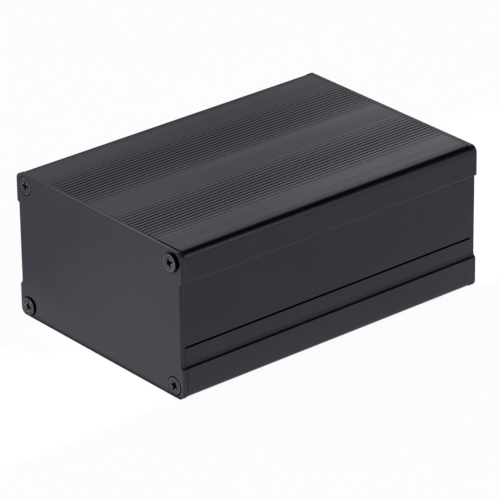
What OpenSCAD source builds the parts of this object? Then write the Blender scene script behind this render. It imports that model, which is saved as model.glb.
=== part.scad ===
// Split extruded aluminium enclosure, closed by two screwed end plates.
// X runs across the case, Y along the extrusion and Z up from the base.
// The front plate faces -Y, and the case stands on its flat underside.

/* [Case] */
// Width of the case across its upper lips
case_w = 76.4; // [66:0.2:110]
// Height from the underside to the top
case_h = 46.2; // [43:0.2:70]
// Length of the upper shell, without the end plates
shell_l = 110; // [60:1:200]
// How much shorter than the upper shell the lower one is cut, which leaves a gap at the front
lower_short = 0.2; // [0:0.05:0.4]
// Radius of the long outer edges
edge_r = 2.5; // [1:0.1:3]
// Thickness of the side walls
side_wall = 1.8; // [1.6:0.1:2.2]
// Thickness of the top and the bottom
flat_wall = 2.2; // [1.6:0.1:2.8]

/* [Side recess] */
// How far the upper lip stands out from the recessed side
upper_step = 0.9; // [0.6:0.05:1.4]
// How far the lower lip stands out from the recessed side
lower_step = 0.9; // [0.6:0.05:1.4]
// Height of the upper lip's straight side
upper_lip_h = 6.7; // [6:0.05:10]
// Radius that rounds the upper lip in towards the recess
lip_r = 0.35; // [0.3:0.05:1]
// Radius of the hollow between the upper lip and the recess
hollow_r = 0.55; // [0.4:0.05:1]
// Height of the lower lip
lower_lip_h = 9.75; // [7:0.05:10.5]
// Radius of the cove that runs down to the lower lip
cove_r = 1.8; // [1.4:0.05:2]

/* [Split] */
// Height at which the two shells part
split_z = 16.2; // [15:0.05:18]
// Shadow gap between the two shells
split_gap = 0.7; // [0.2:0.05:0.9]
// Height of the lower shell's tongue above its side wall
tongue_h = 2.2; // [1.5:0.1:3]
// Thickness of the tongue
tongue_t = 0.8; // [0.6:0.05:0.9]
// Clearance beside the tongue
tongue_gap = 0.12; // [0.05:0.01:0.2]

/* [Top grooves] */
// Number of grooves in each of the two bands
groove_n = 15; // [5:2:15]
// Distance from groove to groove
groove_pitch = 1.5; // [1.2:0.05:1.6]
// Radius of a groove
groove_r = 0.45; // [0.3:0.05:0.5]
// Depth of the groove in the middle of a band
groove_deep = 0.16; // [0.1:0.02:0.4]
// Where the arc of the groove floors meets the top, in pitches past the last groove
groove_past = 0.2; // [0.05:0.05:0.5]
// Width of the flat strip between the two bands
middle_flat = 10.2; // [4:0.2:14]

/* [Card guides] */
// Width of the slot that holds the edge of a circuit board
card_slot = 1.9; // [1.2:0.1:2.4]
// Thickness of a guide rib
guide_t = 1.2; // [0.8:0.1:1.6]
// How far a guide rib stands out from the wall
guide_d = 2; // [1:0.1:3]
// Height of the lower shell's slot
lower_guide_z = 11; // [10:0.1:12]
// Height of the upper shell's lowest slot
upper_guide_z = 22.5; // [21.5:0.1:24]
// Distance between the upper shell's two slots
upper_guide_pitch = 8; // [6:0.1:9]

/* [End plates] */
// Thickness of an end plate
plate_t = 1.6; // [1.6:0.1:3]
// Radius of the plate's corners
plate_r = 2.1; // [1:0.1:3]
// Diameter of the screw holes
plate_hole_d = 3.2; // [3.1:0.05:3.4]
// Diameter of the countersinks
sink_d = 6; // [5.6:0.05:6.2]
// Straight depth of the countersinks, before they narrow
sink_rim = 0.1; // [0.05:0.05:0.15]

/* [Screws] */
// Distance from the side of the case to a screw's axis
screw_side = 4; // [3.5:0.05:4.5]
// Distance from the top or the underside to a screw's axis
screw_edge = 3.5; // [3.3:0.05:4.5]
// Diameter of a screw head
head_d = 5.2; // [5:0.05:5.5]
// Height of the head's straight rim
head_rim = 0.3; // [0.1:0.05:0.4]
// Diameter of the shank, at the middle of its thread
shank_d = 2.65; // [2.4:0.05:2.7]
// Length of a screw, with its head
screw_l = 6; // [5:0.5:12]
// Play between a seated head and its countersink, along the axis
seat_gap = 0.05; // [0.02:0.01:0.2]
// Length of the cross recess in the head
cross_l = 3.4; // [2:0.1:3.6]
// Width of the cross recess
cross_w = 0.8; // [0.4:0.05:1]
// Depth of the cross recess
cross_deep = 1.1; // [0.5:0.1:1.4]
// How far the loose screw at the front's upper right stands off its seat
loose_out = 1.05; // [0:0.05:2]

/* [Screw ports] */
// Play of a shank in its port, on the diameter
port_play = 0.3; // [0.25:0.05:0.5]
// Thickness of the metal around a port
port_wall = 1.3; // [1:0.1:1.6]
// Width of the slit that opens a port to the inside
port_slit = 1.3; // [0.8:0.1:1.8]

/* [Wear] */
// How far the bevel filed along the front's upper edge has grown when it reaches the side
bevel_max = 0.45; // [0.1:0.05:0.6]
// Where that bevel begins, to the left of the middle
bevel_start = 5; // [0:0.5:20]

/* [Hidden] */
$fn = 64;

case_hw = case_w / 2;
recess_hw = case_hw - upper_step;
lower_hw = recess_hw + lower_step;
inner_hw = recess_hw - side_wall;
upper_lip_z = case_h - edge_r - upper_lip_h;
lip_turn = lip_r + hollow_r;
lip_drop = sqrt(2 * lip_turn * upper_step - upper_step * upper_step);
hollow_z = upper_lip_z - lip_drop;
cove_rise = sqrt(2 * cove_r * lower_step - lower_step * lower_step);
cove_top = lower_lip_h + cove_rise;
upper_z0 = split_z + split_gap / 2;
lower_z1 = split_z - split_gap / 2;
tongue_z1 = lower_z1 + tongue_h;

groove_half = (groove_n - 1) / 2;
groove_reach = groove_half + groove_past;
band_x = middle_flat / 2 + groove_half * groove_pitch;

screw_x = case_hw - screw_side;
screw_z = [screw_edge, case_h - screw_edge];
port_d = shank_d + port_play;
port_r = port_d / 2 + port_wall;

plate_y = shell_l / 2;
lower_l = shell_l - lower_short;
bevel_l = case_hw + bevel_start;
head_sink = sink_rim + (sink_d - head_d) / 2 - head_rim - seat_gap;
head_cone = (head_d - shank_d) / 2;
tip_l = shank_d / 6;
port_lead = (plate_hole_d - port_d) / 2;

// Turn of the cross in the lower left, upper left, lower right and upper right screw of a plate
cross_turn = [-12, 3, -17, 28];
// How far those four screws of the front plate stand off their seats
front_out = [0.7, 0.15, 0.25, loose_out];

shell_colour = "#303136";
plate_colour = "#3a3b40";
screw_colour = "#1d1d20";

// Depth of a groove, counted from the middle of its band
function groove_depth(i) = groove_deep * (1 - pow(i / groove_reach, 2));

// A right half outline, closed by its mirror image
function both_halves(half) =
    concat(half, [for (i = [len(half) - 1 : -1 : 0]) [-half[i][0], half[i][1]]]);

// Outer section of the case from z0 up, with an upper lip that curves in to the recess
module upper_outline(z0, corner_r) {
    difference() {
        polygon(both_halves([
            [recess_hw, z0],
            [recess_hw, hollow_z],
            [recess_hw + hollow_r * upper_step / lip_turn, upper_lip_z - lip_drop * lip_r / lip_turn],
            [case_hw, upper_lip_z],
            [case_hw, case_h - corner_r],
            [case_hw - corner_r, case_h]
        ]));
        for (side = [-1, 1])
            translate([side * (recess_hw + hollow_r), hollow_z])
                circle(r = hollow_r);
    }
    for (side = [-1, 1]) {
        translate([side * (case_hw - lip_r), upper_lip_z])
            circle(r = lip_r);
        translate([side * (case_hw - corner_r), case_h - corner_r])
            circle(r = corner_r);
    }
}

// Outer section of the case up to z1, with the cove above its lower lip
module lower_outline(z1, corner_r) {
    polygon(both_halves([
        [lower_hw - corner_r, 0],
        [lower_hw, corner_r],
        [lower_hw, lower_lip_h],
        [recess_hw, lower_lip_h],
        [recess_hw, z1]
    ]));
    for (side = [-1, 1]) {
        translate([side * (lower_hw - corner_r), corner_r])
            circle(r = corner_r);
        difference() {
            translate([side * (recess_hw + lower_step / 2), lower_lip_h])
                square([lower_step, 2 * cove_rise], center = true);
            translate([side * (recess_hw + cove_r), cove_top])
                circle(r = cove_r);
        }
    }
}

// The two bands of fine grooves along the top
module groove_bands() {
    for (side = [-1, 1], i = [-groove_half : groove_half])
        translate([side * band_x + i * groove_pitch, case_h - groove_depth(i) + groove_r])
            circle(r = groove_r);
}

// Metal around the two screw ports at height z
module port_walls(z) {
    for (side = [-1, 1])
        translate([side * screw_x, z])
            circle(r = port_r);
}

// Bores of the two screw ports at height z, slit open towards the inside
module port_bores(z, inward) {
    for (side = [-1, 1])
        translate([side * screw_x, z]) {
            circle(d = port_d);
            rotate(atan2(inward, -side))
                translate([0, -port_slit / 2])
                    square([2 * port_r, port_slit]);
        }
}

// Two pairs of ribs that guide the edges of a circuit board at height z
module card_guides(z) {
    for (side = [-1, 1], level = [-1, 1])
        translate([
            side * (inner_hw - guide_d / 2 + side_wall / 4),
            z + level * (card_slot + guide_t) / 2
        ])
            square([guide_d + side_wall / 2, guide_t], center = true);
}

// Section of the upper shell
module upper_section() {
    difference() {
        union() {
            difference() {
                upper_outline(upper_z0, edge_r);
                translate([-inner_hw, 0])
                    square([2 * inner_hw, case_h - flat_wall]);
            }
            intersection() {
                upper_outline(upper_z0, edge_r);
                port_walls(screw_z[1]);
            }
            for (level = [0, 1])
                card_guides(upper_guide_z + level * upper_guide_pitch);
        }
        port_bores(screw_z[1], -1);
        groove_bands();
        translate([-inner_hw - tongue_t - tongue_gap, 0])
            square([2 * (inner_hw + tongue_t + tongue_gap), tongue_z1]);
    }
}

// Section of the lower shell
module lower_section() {
    difference() {
        union() {
            difference() {
                lower_outline(lower_z1, edge_r);
                translate([-inner_hw, flat_wall])
                    square([2 * inner_hw, case_h]);
            }
            intersection() {
                lower_outline(lower_z1, edge_r);
                port_walls(screw_z[0]);
            }
            for (side = [-1, 1])
                translate([side * (inner_hw + tongue_t / 2), lower_z1])
                    square([tongue_t, 2 * tongue_h], center = true);
            card_guides(lower_guide_z);
        }
        port_bores(screw_z[0], 1);
    }
}

// A section drawn in X and Z, drawn out along Y about the middle
module along_y(length) {
    rotate([90, 0, 0])
        linear_extrude(height = length, center = true)
            children();
}

// Places its children on the two screw axes at height z, at y before the middle, pointing out of the front
module at_screw_pair(y, z) {
    for (side = [-1, 1])
        translate([side * screw_x, -y, z])
            rotate([90, 0, 0])
                children();
}

// Lead-ins at both ends of the two ports at height z, in a shell of the given length
module port_mouths(length, z) {
    for (turn = [0, 180])
        rotate(turn)
            at_screw_pair(length / 2, z)
                translate([0, 0, -port_lead])
                    cylinder(d1 = port_d, d2 = port_d + 4 * port_lead, h = 2 * port_lead);
}

// The front plate, cut to the section of the case, with four countersunk holes
module end_plate() {
    difference() {
        translate([0, -plate_y - plate_t / 2, 0])
            along_y(plate_t) {
                upper_outline(lower_lip_h, plate_r);
                lower_outline(split_z, plate_r);
            }
        for (z = screw_z)
            at_screw_pair(plate_y + plate_t, z) {
                translate([0, 0, -2 * plate_t])
                    cylinder(d = plate_hole_d, h = 3 * plate_t);
                translate([0, 0, -sink_rim - sink_d / 2])
                    cylinder(d1 = 0, d2 = sink_d, h = sink_d / 2);
                translate([0, 0, -sink_rim])
                    cylinder(d = sink_d, h = 2 * sink_rim);
            }
    }
}

// One wing of the cross recess, narrower at its floor
module cross_wing() {
    rotate([90, 0, 0])
        linear_extrude(height = cross_w, center = true)
            polygon([
                [-cross_l / 2, cross_deep / 4],
                [cross_l / 2, cross_deep / 4],
                [cross_l / 5, -cross_deep],
                [-cross_l / 5, -cross_deep]
            ]);
}

// A countersunk cross-head screw, with the middle of its face at the origin and its tip down
module screw() {
    difference() {
        rotate_extrude()
            polygon([
                [0, 0],
                [head_d / 2, 0],
                [head_d / 2, -head_rim],
                [shank_d / 2, -head_rim - head_cone],
                [shank_d / 2, -screw_l + tip_l],
                [shank_d / 2 - tip_l, -screw_l],
                [0, -screw_l]
            ]);
        for (turn = [0, 90])
            rotate(turn)
                cross_wing();
    }
}

// The metal filed off along the upper shell's front edge, in a bevel that grows to the right
module filed_bevel() {
    translate([-bevel_start, -plate_y, case_h])
        rotate([45, 0, atan(bevel_max / bevel_l)])
            translate([-bevel_l, -bevel_l, 0])
                cube([3 * bevel_l, 2 * bevel_l, bevel_l]);
}

module upper_shell() {
    color(shell_colour)
        difference() {
            along_y(shell_l)
                upper_section();
            port_mouths(shell_l, screw_z[1]);
            filed_bevel();
        }
}

module lower_shell() {
    color(shell_colour)
        translate([0, lower_short / 2, 0])
            difference() {
                along_y(lower_l)
                    lower_section();
                port_mouths(lower_l, screw_z[0]);
            }
}

module front_plate() {
    color(plate_colour)
        end_plate();
}

module rear_plate() {
    color(plate_colour)
        rotate([0, 0, 180])
            end_plate();
}

// The four screws of the front plate, each standing off its seat by the given amount
module screw_set(outs) {
    for (side = [-1, 1], level = [0, 1])
        translate([side * screw_x, -plate_y - plate_t, screw_z[level]])
            rotate([90, 0, 0])
                translate([0, 0, outs[side + 1 + level] - head_sink])
                    rotate(cross_turn[side + 1 + level])
                        screw();
}

module plate_screws() {
    color(screw_colour) {
        screw_set(front_out);
        rotate(180)
            screw_set([0, 0, 0, 0]);
    }
}

upper_shell();
lower_shell();
front_plate();
rear_plate();
plate_screws();
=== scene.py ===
import math

import bpy
from mathutils import Matrix, Vector


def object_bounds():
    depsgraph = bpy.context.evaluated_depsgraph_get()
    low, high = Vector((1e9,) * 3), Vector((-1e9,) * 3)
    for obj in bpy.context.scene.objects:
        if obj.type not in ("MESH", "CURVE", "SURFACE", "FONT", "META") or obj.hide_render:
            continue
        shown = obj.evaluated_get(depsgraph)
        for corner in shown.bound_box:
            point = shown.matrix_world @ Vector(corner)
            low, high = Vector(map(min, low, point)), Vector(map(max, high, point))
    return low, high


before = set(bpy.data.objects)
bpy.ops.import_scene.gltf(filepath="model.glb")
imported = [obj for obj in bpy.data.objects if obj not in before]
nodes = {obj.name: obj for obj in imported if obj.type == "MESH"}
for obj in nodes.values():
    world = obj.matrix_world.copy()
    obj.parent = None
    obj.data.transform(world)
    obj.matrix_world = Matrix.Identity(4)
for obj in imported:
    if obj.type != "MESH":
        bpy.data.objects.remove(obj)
cad_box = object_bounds()

MM = 0.001

# Camera, in degrees, millimetres and pixels of the 500 pixel image
IMAGE_SIDE = 500
AZIMUTH = 50.368
ELEVATION = 25.581
ROLL = -0.783
DISTANCE = 1163.80
FOCAL_PIXELS = 3913.6
AIM_RIGHT = 0.362
AIM_UP = -6.145
SENSOR_MM = 36.0
CLIP_START = 0.01
CLIP_END = 100

# From here on a ramp is four numbers: from, to, and the level at each. A curve is a row of value and level.

# Surroundings as reflections see them: level by the rise of the ray, under a dark ceiling
CEILING = (
    (0.00, 1.00), (0.43, 1.00), (0.445, 0.77), (0.46, 0.56), (0.48, 0.43), (0.53, 0.34), (0.60, 0.28),
    (0.66, 0.21), (0.72, 0.13), (0.78, 0.05), (0.83, 0.01), (1.00, 0.00),
)
# Backdrop under it: level by the rise of the ray, and its share by how far the ray goes right
BACKDROP = (
    (0.00, 0.15), (0.36, 0.18), (0.38, 0.26), (0.395, 0.38), (0.41, 0.58), (0.425, 0.71), (0.44, 0.80),
    (1.00, 0.80),
)
ACROSS = (
    (-1.00, 0.05), (-0.75, 0.05), (-0.35, 0.40), (-0.05, 0.50), (-0.03, 0.48), (-0.005, 0.49),
    (0.012, 0.59), (0.034, 0.76), (0.05, 0.86), (0.08, 0.97), (0.15, 1.00), (0.30, 0.30), (1.00, 0.30),
)
LIT = 2.2
# Pale walls on the right, on the left and behind the camera, and the rise over which the last two dim
RIGHT_WALL = (0.3, 0.6, 0, 0.82)
LEFT_WALL = (-0.3, -0.6, 0, 0.8)
BACK_WALL = (0, 0.3, 0, 0.8)
WALL_TOP = (0.5, 0.57, 1, 0)
WORLD_TONE = (1.02, 1.0, 1.14, 1)
WHITE = (1, 1, 1, 1)

# Floor: half its side in metres, its gap under the case in millimetres, its paper and how much of it glows
FLOOR_HALF = 3.0
FLOOR_GAP = 0.02
PAPER = (0.8, 0.8, 0.8, 1)
PAPER_GLOW = 0.95
# Floor as reflections see it: level by the place across the case, in millimetres
FLOOR_GLOW = (
    (-120, 0.80), (-100, 0.81), (-70, 0.835), (-40, 0.925), (0, 0.965), (30, 1.00),
    (41, 0.89), (50, 0.82), (60, 0.773), (70, 0.74), (85, 0.718), (120, 0.713),
)
GLOW = 1.08
FLOOR_TONE = (0.965, 1.0, 1.15, 1)
# There a painted contact shadow darkens it towards the case, and this many times as fast at its ends
CONTACT_SHADOW = (0, 2.5, 0.5, 1)
END_CONTACT = 3
# A shade there before the left of the front plate, and more light towards the far end
SHADE = (-32, 2, 0.82, 1)
SHADE_LEAN = 1.2
SHADE_MIDDLE = 90
SHADE_ENDS = (17, 26, 0.8, 1)
FAR_END = (30, 85, 1, 1.08)

# Lamp overhead, in metres and watts
LAMP_SIDE = 0.9
LAMP_HEIGHT = 1.2
LAMP_WATTS = 8

# First value, second value and result of a mix node, by what it mixes
MIX_SOCKETS = {"VECTOR": (4, 5, 1), "RGBA": (6, 7, 2)}
# Range that most of the noise keeps to, its detail, and the samples of rims and recesses
NOISE_RANGE = (0.3, 0.7)
NOISE_DETAIL = 2.0
SAMPLES = 8


def make_camera():
    """The camera at the photograph's viewing angle."""
    azimuth, elevation, roll = (math.radians(d) for d in (AZIMUTH, ELEVATION, ROLL))
    back = Vector((
        math.sin(azimuth) * math.cos(elevation),
        -math.cos(azimuth) * math.cos(elevation),
        math.sin(elevation),
    ))
    level = Vector((math.cos(azimuth), math.sin(azimuth), 0))
    upright = back.cross(level)
    right = math.cos(roll) * level + math.sin(roll) * upright
    up = back.cross(right)
    middle = Vector((0, 0, cad_box[1].z / 2))
    aim = middle + (AIM_RIGHT * right + AIM_UP * up) * MM
    data = bpy.data.cameras.new("camera")
    data.sensor_fit = "HORIZONTAL"
    data.sensor_width = SENSOR_MM
    data.lens = FOCAL_PIXELS / IMAGE_SIDE * SENSOR_MM
    data.clip_start = CLIP_START
    data.clip_end = CLIP_END
    camera = bpy.data.objects.new("camera", data)
    turn = Matrix((right, up, back)).transposed()
    camera.matrix_world = Matrix.Translation(aim + back * DISTANCE * MM) @ turn.to_4x4()
    bpy.context.scene.collection.objects.link(camera)
    bpy.context.scene.camera = camera


class Tree:
    """A short way to add and join the nodes of a material or a world."""

    def __init__(self, holder):
        holder.use_nodes = True
        self.tree = holder.node_tree
        self.tree.nodes.clear()

    def feed(self, socket, value):
        """A link into a socket, or a constant set on it."""
        if isinstance(value, bpy.types.NodeSocket):
            self.tree.links.new(value, socket)
        elif value is not None:
            socket.default_value = value

    def add(self, kind, settings=None, **inputs):
        """A node with its settings, and with its inputs by name, spaces as underscores."""
        node = self.tree.nodes.new(kind)
        for name, value in (settings or {}).items():
            setattr(node, name, value)
        for name, value in inputs.items():
            self.feed(node.inputs[name.replace("_", " ")], value)
        return node

    def math(self, operation, a, b=None):
        node = self.add("ShaderNodeMath", {"operation": operation})
        self.feed(node.inputs[0], a)
        self.feed(node.inputs[1], b)
        return node.outputs[0]

    def times(self, first, *others):
        for other in others:
            first = self.math("MULTIPLY", first, other)
        return first

    def highest(self, first, *others):
        for other in others:
            first = self.math("MAXIMUM", first, other)
        return first

    def dot(self, a, b):
        node = self.add("ShaderNodeVectorMath", {"operation": "DOT_PRODUCT"})
        self.feed(node.inputs[0], a)
        self.feed(node.inputs[1], b)
        return node.outputs["Value"]

    def mix(self, factor, a, b, kind="RGBA"):
        """Colour, or vector, that goes from a to b with the factor."""
        first, second, result = MIX_SOCKETS[kind]
        node = self.add("ShaderNodeMix", {"data_type": kind}, Factor=factor)
        self.feed(node.inputs[first], a)
        self.feed(node.inputs[second], b)
        return node.outputs[result]

    def ramp(self, value, low, high, level_low, level_high):
        """Level that goes straight from one to the other between two values, and is held beyond them."""
        limits = {"From_Min": low, "From_Max": high, "To_Min": level_low, "To_Max": level_high}
        return self.add("ShaderNodeMapRange", Value=value, **limits).outputs["Result"]

    def curve(self, value, points):
        """Level read off the straight lines between points of value and level."""
        low, high = points[0][0], points[-1][0]
        node = self.add("ShaderNodeValToRGB", Fac=self.ramp(value, low, high, 0, 1))
        stops = node.color_ramp.elements
        while len(stops) < len(points):
            stops.new(0.5)
        for stop, (place, level) in zip(stops, points):
            stop.position = (place - low) / (high - low)
            stop.color = (level, level, level, 1)
        return node.outputs[0]

    def place(self):
        """X, Y and Z on the object, in millimetres."""
        spot = self.add("ShaderNodeTexCoord").outputs["Object"]
        parts = self.add("ShaderNodeSeparateXYZ", Vector=spot).outputs
        return [self.math("DIVIDE", part, MM) for part in parts]

    def noise(self, waves, detail=NOISE_DETAIL):
        """Noise with one wavelength in millimetres along each axis."""
        spot = self.add("ShaderNodeTexCoord").outputs["Object"]
        grid = self.add("ShaderNodeMapping", Vector=spot, Scale=[1 / (wave * MM) for wave in waves])
        node = self.add("ShaderNodeTexNoise", Vector=grid.outputs[0], Scale=1.0, Detail=detail)
        return node.outputs["Fac"]

    def spread(self, noise, low, high):
        """Noise stretched over a range."""
        return self.ramp(noise, *NOISE_RANGE, low, high)

    def rounded(self, radius):
        """Normals rounded over the edges by a radius in millimetres."""
        return self.add("ShaderNodeBevel", {"samples": SAMPLES}, Radius=radius * MM).outputs[0]

    def normal(self):
        return self.add("ShaderNodeNewGeometry").outputs["Normal"]

    def facing(self, way):
        """How far the surface faces a way: 1 where it does, 0 where it lies along it."""
        return self.dot(self.normal(), way)

    def finish(self, kind, shader):
        out = self.add(kind)
        self.feed(out.inputs["Surface"], shader)


UP = (0, 0, 1)
FORWARD = (0, -1, 0)

# The black skin from cloud to cloud, and the pale colours on edges of the shells, plates and screws: wear,
# with painted highlights and glints
BLACK = ((0.0022, 0.0022, 0.0027, 1), (0.0032, 0.0032, 0.0038, 1))
WEAR_AND_HIGHLIGHT_GREY = (0.06, 0.06, 0.064, 1)
PLATE_WEAR_AND_HIGHLIGHT = (0.15, 0.15, 0.156, 1)
SCREW_WEAR_AND_GLINTS = (0.35, 0.35, 0.36, 1)

# Wavelengths in millimetres: streaks on the shells, plates and screws, clouds, grain and the patches of pale
# rims
DRAWN = (0.5, 60, 0.5)
BRUSHED = (0.5, 0.5, 0.5)
TURNED = (0.4, 0.4, 0.4)
CLOUDS = (14, 14, 14)
GRAIN = (0.16, 0.16, 0.16)
PATCHES = (1.5, 1.5, 1.5)
# Detail of the streaks, and their depth beside the grain's
STREAK_DETAIL = 3.0
STREAK_DEPTH = 0.4
# Roughness that streaks and clouds add or take away, and the share of sheen with grain and clouds
STREAK_GLOSS = 0.03
CLOUD_GLOSS = 0.015
GRAIN_SHEEN = (0.95, 1.05)
CLOUD_SHEEN = (0.97, 1.03)
# Sheen of an open face with no painted shade: level, tint and index of refraction
SHEEN = 0.5
SHEEN_TINT = (0.98, 0.98, 1.0, 1)
IOR = 1.45
# Recesses by the open air within this many millimetres: where sheen fades as painted shade, and where no rim
# is paled
RECESS = 2
SHADE_IN_RECESS = (0.55, 0.97)
UNPALED = (0.7, 0.95, 0, 1)
# Pale rims, from wear and on the screws also a painted highlight, reach over so many radii, by how far the
# rounded normal turns, in patches
RIM_RADII = 3
RIM_TURN = (0.995, 0.9)
PATCH_SHARE = (0.2, 1)

# Ramps that tell the top and the front end of the case from the rest, in millimetres
ON_TOP = (44, 45, 0, 1)
AT_FRONT = (-50, -49, 1, 0)

# Upper long edges, paled partly by wear and partly as a painted highlight: height, slope where the paling
# begins and ends, share along the case, patches
EDGE_HEIGHT = (43.5, 44.2, 0, 1)
EDGE_BEGIN = (0.38, 0.52, 0, 1)
EDGE_END = (0.6, 0.74, 1, 0)
EDGE_ALONG = (-55, 40, 1, 0.1)
EDGE_PATCHES = (3, 12, 3)
EDGE_PATCH_SHARE = (0.6, 1)

# Hollow flats of the top: middle of the outer ones, reach, and rise by the square of the distance, in mm
OUTER_FLAT = 31
FLAT_REACH = 5
FLAT_RISE = 0.0006

# Softened grooves: share by the distance towards the far left, within the bands, on what faces up
SOFT_FAR = (-5, 50, 0, 0.4)
SOFT_INSIDE = (28.5, 29.5, 1, 0)
SOFT_FACES = (0.3, 0.5, 0, 1)

# Painted sheen of the top, as highlight and shade: lost beside the long edges, gained at the rear left and
# the near right, and lost where filed, as painted shade
TOP_FACES = (0.6, 0.9, 0, 1)
MARGIN = (33.2, 36.2, 0, 1)
MARGIN_LOSS = (-50, 0, 0.44, 0.67)
REAR_GAIN = (28, 55, 0, 0.24)
REAR_SIDE = (8, 22, 1, 0)
NEAR_GAIN = (-55, -22, 0.55, 0)
NEAR_SIDE = (-12, 24, 0, 1)
FILED_SHADE = (0.3, 0.6, 1, 0.05)
# Painted sheen gained on the left and the right groove band: its two sides, and the share along the case
BANDS = (
    ((-24, -18, 0, 1), (-11, -2, 1, 0), (-55, 0, 0.46, 0.33)),
    ((2, 11, 0, 1), (24.5, 27.5, 1, 0), (-55, 0, 0.61, 0.44)),
)

# Painted shade on the ledge above the lower lip: what faces up between two heights, and the share of sheen
# there
LEDGE_FACES = (0.15, 0.5, 0, 1)
LEDGE_FOOT = (9, 9.2, 0, 1)
LEDGE_HEAD = (9.85, 10.4, 1, 0)
LEDGE_SHARE = (0, 1, 1, 0.15)

# Painted highlight on the top edge of the front plate: what faces up, its front and back, its share along
# the edge
PLATE_LIT_FACES = (0.5, 0.8, 0, 1)
PLATE_LIT_FRONT = (-56.5, -55.85, 0.12, 1)
PLATE_LIT_BACK = (-55.6, -55.2, 1, 0.3)
PLATE_LIT_ALONG = (-25, 30, 0.22, 0.6)
PLATE_LIT_CORNER = (32, 36, 1, 0.15)

# Painted shadow in the seam behind the right of that edge, and the share of sheen there
SEAM_FRONT = (-55.5, -55.25, 0, 1)
SEAM_RIGHT = (24, 28, 0, 1)
SEAM_SHARE = (0, 1, 1, 0.05)

# Painted shade in and round the crosses of the front screws: x, z and radius in millimetres, its edge in
# radii, its share
CROSS_SHADE = ((34.4, 3.95, 0.9), (34.0, 42.7, 0.95), (-34.1, 3.6, 0.6))
CROSS_SHADE_EDGE = (0.85, 1.1)
CROSS_SHADE_SHARE = (0.03, 1)
# Painted glints round the cross of the lower left front screw: x, z and radius in millimetres
GLINT_SPOTS = ((-35.6, 3.5, 0.6), (-34.45, 2.05, 0.5), (-33.3, 4.8, 0.4))
# The face of the loose screw, with a painted highlight to its right, the height of the upper screws, and
# what faces forward
LOOSE_SCREW_HIGHLIGHT = (34.2, 35.5, 0, 0.16)
UPPER_SCREWS = (30, 31, 0, 1)
HEAD_FACES = (0.5, 0.8, 0, 1)


def top_edge_wear_and_highlight(t):
    """Paler band on the upper long edges, partly rubbing from handling and partly a painted highlight, most
    of all towards the front.
    """
    y, z = t.place()[1:]
    up = t.facing(UP)
    band = t.times(t.ramp(up, *EDGE_BEGIN), t.ramp(up, *EDGE_END))
    patches = t.spread(t.noise(EDGE_PATCHES), *EDGE_PATCH_SHARE)
    return t.times(band, t.ramp(z, *EDGE_HEIGHT), t.ramp(y, *EDGE_ALONG), patches)


def sunk_flats(t):
    """Height of the top in millimetres: its three flats are a little hollow."""
    out = t.math("ABSOLUTE", t.place()[0])
    off_outer = t.math("ABSOLUTE", t.math("SUBTRACT", out, OUTER_FLAT))
    off = t.math("MINIMUM", off_outer, t.math("MINIMUM", out, FLAT_REACH))
    return t.times(off, off, FLAT_RISE)


def soft_grooves(t):
    """Share by which the shading of the grooves is flattened, growing towards the far left."""
    x, y, z = t.place()
    turn = math.radians(AZIMUTH)
    far = t.math("SUBTRACT", t.times(y, math.cos(turn)), t.times(x, math.sin(turn)))
    inside = t.ramp(t.math("ABSOLUTE", x), *SOFT_INSIDE)
    return t.times(t.ramp(far, *SOFT_FAR), inside, t.ramp(t.facing(UP), *SOFT_FACES), t.ramp(z, *ON_TOP))


def painted_top_sheen(t):
    """Share of the sheen on the upper shell, painted to vary over its top as highlight and shade."""
    x, y, z = t.place()
    up = t.ramp(t.facing(UP), *TOP_FACES)
    margin = t.ramp(t.math("ABSOLUTE", x), *MARGIN)
    lost = t.times(margin, up, t.ramp(y, *MARGIN_LOSS))
    rear = t.times(t.ramp(y, *REAR_GAIN), t.ramp(x, *REAR_SIDE), up)
    front = t.ramp(y, *NEAR_GAIN)
    near = t.times(front, front, t.ramp(x, *NEAR_SIDE), up)
    bands = [t.times(t.ramp(x, *begin), t.ramp(x, *end), t.ramp(y, *gain)) for begin, end, gain in BANDS]
    grooved = t.times(t.math("ADD", *bands), t.ramp(z, *ON_TOP))
    gained = t.math("ADD", grooved, t.math("ADD", rear, near))
    kept = t.math("ADD", t.math("SUBTRACT", 1, lost), gained)
    # Painted shade on the filed bevel at the front
    return t.times(kept, t.ramp(t.facing(FORWARD), *FILED_SHADE))


def ledge_shade(t):
    """Share of the sheen on the lower shell: little of it on the ledge above the lip, as painted shade."""
    z = t.place()[2]
    ledge = t.times(t.ramp(z, *LEDGE_FOOT), t.ramp(z, *LEDGE_HEAD))
    return t.ramp(t.times(t.ramp(t.facing(UP), *LEDGE_FACES), ledge), *LEDGE_SHARE)


def plate_edge_highlight(t):
    """Painted highlight on the top edge of the front plate, paler than its faces, most of all towards the
    right.
    """
    x, y, z = t.place()
    up = t.ramp(t.facing(UP), *PLATE_LIT_FACES)
    line = t.times(t.ramp(y, *PLATE_LIT_FRONT), t.ramp(y, *PLATE_LIT_BACK))
    along = t.times(t.ramp(x, *PLATE_LIT_ALONG), t.ramp(x, *PLATE_LIT_CORNER))
    return t.times(up, line, along, t.ramp(y, *AT_FRONT), t.ramp(z, *ON_TOP))


def seam_shadow(t):
    """Share of the sheen on the plates: little of it beside the filed seam on the right of the front, where
    a shadow is painted.
    """
    x, y, z = t.place()
    beside = t.times(t.ramp(y, *SEAM_FRONT), t.ramp(y, *AT_FRONT))
    return t.ramp(t.times(beside, t.ramp(x, *SEAM_RIGHT), t.ramp(z, *ON_TOP)), *SEAM_SHARE)


def off_spot(t, spot_x, spot_z):
    """Distance in millimetres from a place on the ends of the case."""
    x, _, z = t.place()
    side = t.math("SUBTRACT", x, spot_x)
    rise = t.math("SUBTRACT", z, spot_z)
    return t.math("SQRT", t.math("ADD", t.times(side, side), t.times(rise, rise)))


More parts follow.
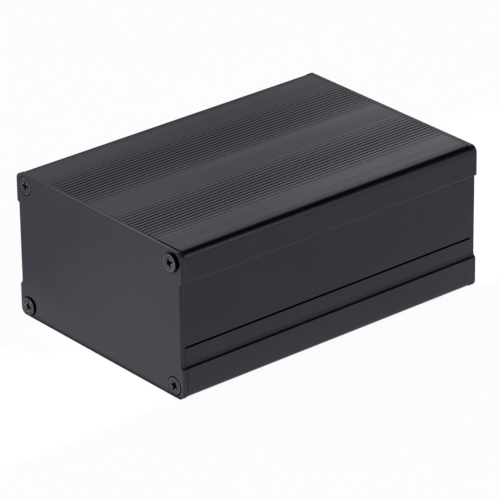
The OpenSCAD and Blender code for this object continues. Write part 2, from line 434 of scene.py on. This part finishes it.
def cross_shade(t):
    """Share of the sheen left by painted shade in and round the crosses of the screws."""
    shares = []
    for x, z, radius in CROSS_SHADE:
        inner, outer = (radius * edge for edge in CROSS_SHADE_EDGE)
        shares.append(t.ramp(off_spot(t, x, z), inner, outer, *CROSS_SHADE_SHARE))
    return t.times(*shares)


def screw_glints_and_highlight(t):
    """Painted glints round the cross of the lower left screw, and a painted highlight on the face of the
    loose one.
    """
    x, y, z = t.place()
    paled = t.times(t.ramp(x, *LOOSE_SCREW_HIGHLIGHT), t.ramp(z, *UPPER_SCREWS))
    glints = [t.ramp(off_spot(t, *spot), radius / 2, radius, 1, 0) for *spot, radius in GLINT_SPOTS]
    highlights = t.highest(paled, *glints)
    return t.times(highlights, t.ramp(y, *AT_FRONT), t.ramp(t.facing(FORWARD), *HEAD_FACES))


def anodised(
    name, roughness, streak, grain_depth, edge, paled, pale_colour, recess_shade,
    alone=False, marks_and_highlights=None, form=None, painted_sheen=None, smoothed=None,
):
    """Black anodised aluminium with grain, streaks, painted shade in hollows and pale rims.

    Depths and the edge's radius are in millimetres. Rims are paled to the pale colour by the paled share:
    rubbing, and on the screws partly a painted highlight.
    Recesses lose part of the sheen to painted shade, found on the piece alone or with its neighbours.
    The last four are functions over the piece: rubbing and painted highlights, height, share of sheen
    painted as light and shade, flattened shading.
    """
    material = bpy.data.materials.new(name)
    t = Tree(material)
    streaks = t.noise(streak, STREAK_DETAIL)
    clouds = t.noise(CLOUDS)
    grain = t.noise(GRAIN)
    reach = {"samples": SAMPLES, "only_local": alone}
    open_air = t.add("ShaderNodeAmbientOcclusion", reach, Distance=RECESS * MM).outputs["AO"]
    rim = t.ramp(t.dot(t.rounded(RIM_RADII * edge), t.normal()), *RIM_TURN, 0, paled)
    paling = t.times(rim, t.spread(t.noise(PATCHES), *PATCH_SHARE), t.ramp(open_air, *UNPALED))
    # Pale marks over the piece, from wear and as painted highlights and glints
    if marks_and_highlights:
        paling = t.highest(paling, marks_and_highlights(t))
    # Share of the sheen painted over the piece as light and shade; the pale marks follow it
    painted_share = painted_sheen(t) if painted_sheen else 1
    paling = t.times(paling, painted_share)
    colour = t.mix(paling, t.mix(t.spread(clouds, 0, 1), *BLACK), pale_colour)
    streak_gloss = t.spread(streaks, roughness - STREAK_GLOSS, roughness + STREAK_GLOSS)
    gloss = t.math("ADD", streak_gloss, t.spread(clouds, -CLOUD_GLOSS, CLOUD_GLOSS))
    height = t.times(t.math("ADD", t.times(streaks, STREAK_DEPTH), grain), grain_depth)
    if form:
        height = t.math("ADD", height, form(t))
    normal = t.rounded(edge)
    if smoothed:
        normal = t.mix(smoothed(t), normal, UP, "VECTOR")
    bump = t.add("ShaderNodeBump", Height=height, Strength=1.0, Distance=MM, Normal=normal)
    # Painted shade: recesses that the open air barely reaches keep less sheen
    recesses = t.ramp(open_air, *SHADE_IN_RECESS, SHEEN - recess_shade, SHEEN)
    sheen = t.times(recesses, t.spread(grain, *GRAIN_SHEEN), t.spread(clouds, *CLOUD_SHEEN), painted_share)
    shader = t.add(
        "ShaderNodeBsdfPrincipled", Base_Color=colour, Roughness=gloss, Normal=bump.outputs[0], IOR=IOR,
        Specular_Tint=SHEEN_TINT, Specular_IOR_Level=sheen,
    )
    t.finish("ShaderNodeOutputMaterial", shader.outputs[0])
    return material


def dress(node, material):
    """One material over the whole of a node."""
    mesh = nodes[node].data
    mesh.materials.clear()
    mesh.materials.append(material)


def dress_case():
    """Materials of the shells, the end plates and the screws."""
    dress("upper_shell", anodised(
        "anodised_upper", roughness=0.11, streak=DRAWN, grain_depth=0.0006, edge=0.1, paled=0.2, pale_colour=WEAR_AND_HIGHLIGHT_GREY,
        recess_shade=0.1, alone=True, marks_and_highlights=top_edge_wear_and_highlight, form=sunk_flats, painted_sheen=painted_top_sheen,
        smoothed=soft_grooves,
    ))
    dress("lower_shell", anodised(
        "anodised_lower", roughness=0.11, streak=DRAWN, grain_depth=0.0006, edge=0.1, paled=0.2, pale_colour=WEAR_AND_HIGHLIGHT_GREY,
        recess_shade=0.5, alone=True, painted_sheen=ledge_shade,
    ))
    plate = anodised(
        "anodised_plate", roughness=0.2, streak=BRUSHED, grain_depth=0.001, edge=0.15, paled=0.12, pale_colour=PLATE_WEAR_AND_HIGHLIGHT,
        recess_shade=0.45, marks_and_highlights=plate_edge_highlight, painted_sheen=seam_shadow,
    )
    dress("front_plate", plate)
    dress("rear_plate", plate)
    # Screw rims paled in full: wear, and a painted highlight on the rims
    dress("plate_screws", anodised(
        "black_screw", roughness=0.22, streak=TURNED, grain_depth=0.001, edge=0.16, paled=1.0, pale_colour=SCREW_WEAR_AND_GLINTS,
        recess_shade=0.5, marks_and_highlights=screw_glints_and_highlight, painted_sheen=cross_shade,
    ))


def make_world():
    """White for the camera; for reflections, a backdrop and pale walls under a dark ceiling."""
    world = bpy.data.worlds.new("studio")
    bpy.context.scene.world = world
    t = Tree(world)
    way = t.add("ShaderNodeTexCoord").outputs["Generated"]
    turn = math.radians(AZIMUTH)
    across = t.dot(way, (math.cos(turn), math.sin(turn), 0))
    behind = t.dot(way, (math.sin(turn), -math.cos(turn), 0))
    rise = t.dot(way, UP)
    backdrop = t.times(t.curve(rise, BACKDROP), t.curve(across, ACROSS), LIT)
    right_wall = t.ramp(across, *RIGHT_WALL)
    left_wall = t.ramp(across, *LEFT_WALL)
    back_wall = t.ramp(behind, *BACK_WALL)
    under_ceiling = t.times(t.curve(rise, CEILING), t.highest(backdrop, right_wall, back_wall))
    low_walls = t.times(t.highest(left_wall, back_wall), t.ramp(rise, *WALL_TOP))
    seen = t.add("ShaderNodeLightPath").outputs["Is Camera Ray"]
    back = t.add(
        "ShaderNodeBackground", Color=t.mix(seen, WORLD_TONE, WHITE),
        Strength=t.highest(seen, under_ceiling, low_walls),
    )
    t.finish("ShaderNodeOutputWorld", back.outputs[0])


def make_floor():
    """White paper that keeps a soft shadow; reflections see it with the levels given above."""
    mesh = bpy.data.meshes.new("floor")
    corners = [(x * FLOOR_HALF, y * FLOOR_HALF, 0) for x, y in ((-1, -1), (1, -1), (1, 1), (-1, 1))]
    mesh.from_pydata(corners, [], [(0, 1, 2, 3)])
    floor = bpy.data.objects.new("floor", mesh)
    bpy.context.scene.collection.objects.link(floor)
    material = bpy.data.materials.new("white_paper")
    t = Tree(material)
    rays = t.add("ShaderNodeLightPath").outputs
    seen = rays["Is Camera Ray"]
    bright = t.highest(seen, rays["Is Glossy Ray"], rays["Is Transmission Ray"])
    x, y = t.place()[:2]
    half_width = cad_box[1].x / MM
    half_length = cad_box[1].y / MM
    beside = t.math("SUBTRACT", t.math("ABSOLUTE", x), half_width)
    before = t.math("SUBTRACT", t.math("ABSOLUTE", y), half_length)
    # Painted contact shadow in the floor's glow, as reflections see it
    contact_shadow = t.ramp(t.highest(beside, t.times(before, END_CONTACT)), *CONTACT_SHADOW)
    lean = t.times(t.math("ADD", y, half_length), SHADE_LEAN)
    shade = t.ramp(t.math("SUBTRACT", x, lean), *SHADE)
    ends = t.ramp(t.math("ABSOLUTE", t.math("ADD", y, SHADE_MIDDLE)), *SHADE_ENDS)
    far_end = t.ramp(y, *FAR_END)
    glow = t.times(t.curve(x, FLOOR_GLOW), GLOW, contact_shadow, far_end, t.highest(shade, ends))
    lamp = t.add(
        "ShaderNodeEmission", Color=t.mix(seen, FLOOR_TONE, WHITE), Strength=t.highest(seen, glow),
    )
    paper = t.add("ShaderNodeBsdfDiffuse", Color=PAPER)
    mixed = t.add("ShaderNodeMixShader", Fac=t.times(bright, PAPER_GLOW))
    t.feed(mixed.inputs[1], paper.outputs[0])
    t.feed(mixed.inputs[2], lamp.outputs[0])
    clear = t.add("ShaderNodeMixShader", Fac=t.add("ShaderNodeNewGeometry").outputs["Backfacing"])
    t.feed(clear.inputs[1], mixed.outputs[0])
    t.feed(clear.inputs[2], t.add("ShaderNodeBsdfTransparent").outputs[0])
    t.finish("ShaderNodeOutputMaterial", clear.outputs[0])
    mesh.materials.append(material)
    floor.location.z = -FLOOR_GAP * MM


def make_lamp():
    """A soft square lamp overhead."""
    data = bpy.data.lights.new("softbox", "AREA")
    data.shape = "SQUARE"
    data.size = LAMP_SIDE
    data.energy = LAMP_WATTS
    lamp = bpy.data.objects.new("softbox", data)
    lamp.location = (0, 0, LAMP_HEIGHT)
    bpy.context.scene.collection.objects.link(lamp)


make_camera()
dress_case()
make_world()
make_floor()
make_lamp()
bpy.context.scene.view_settings.view_transform = "Standard"
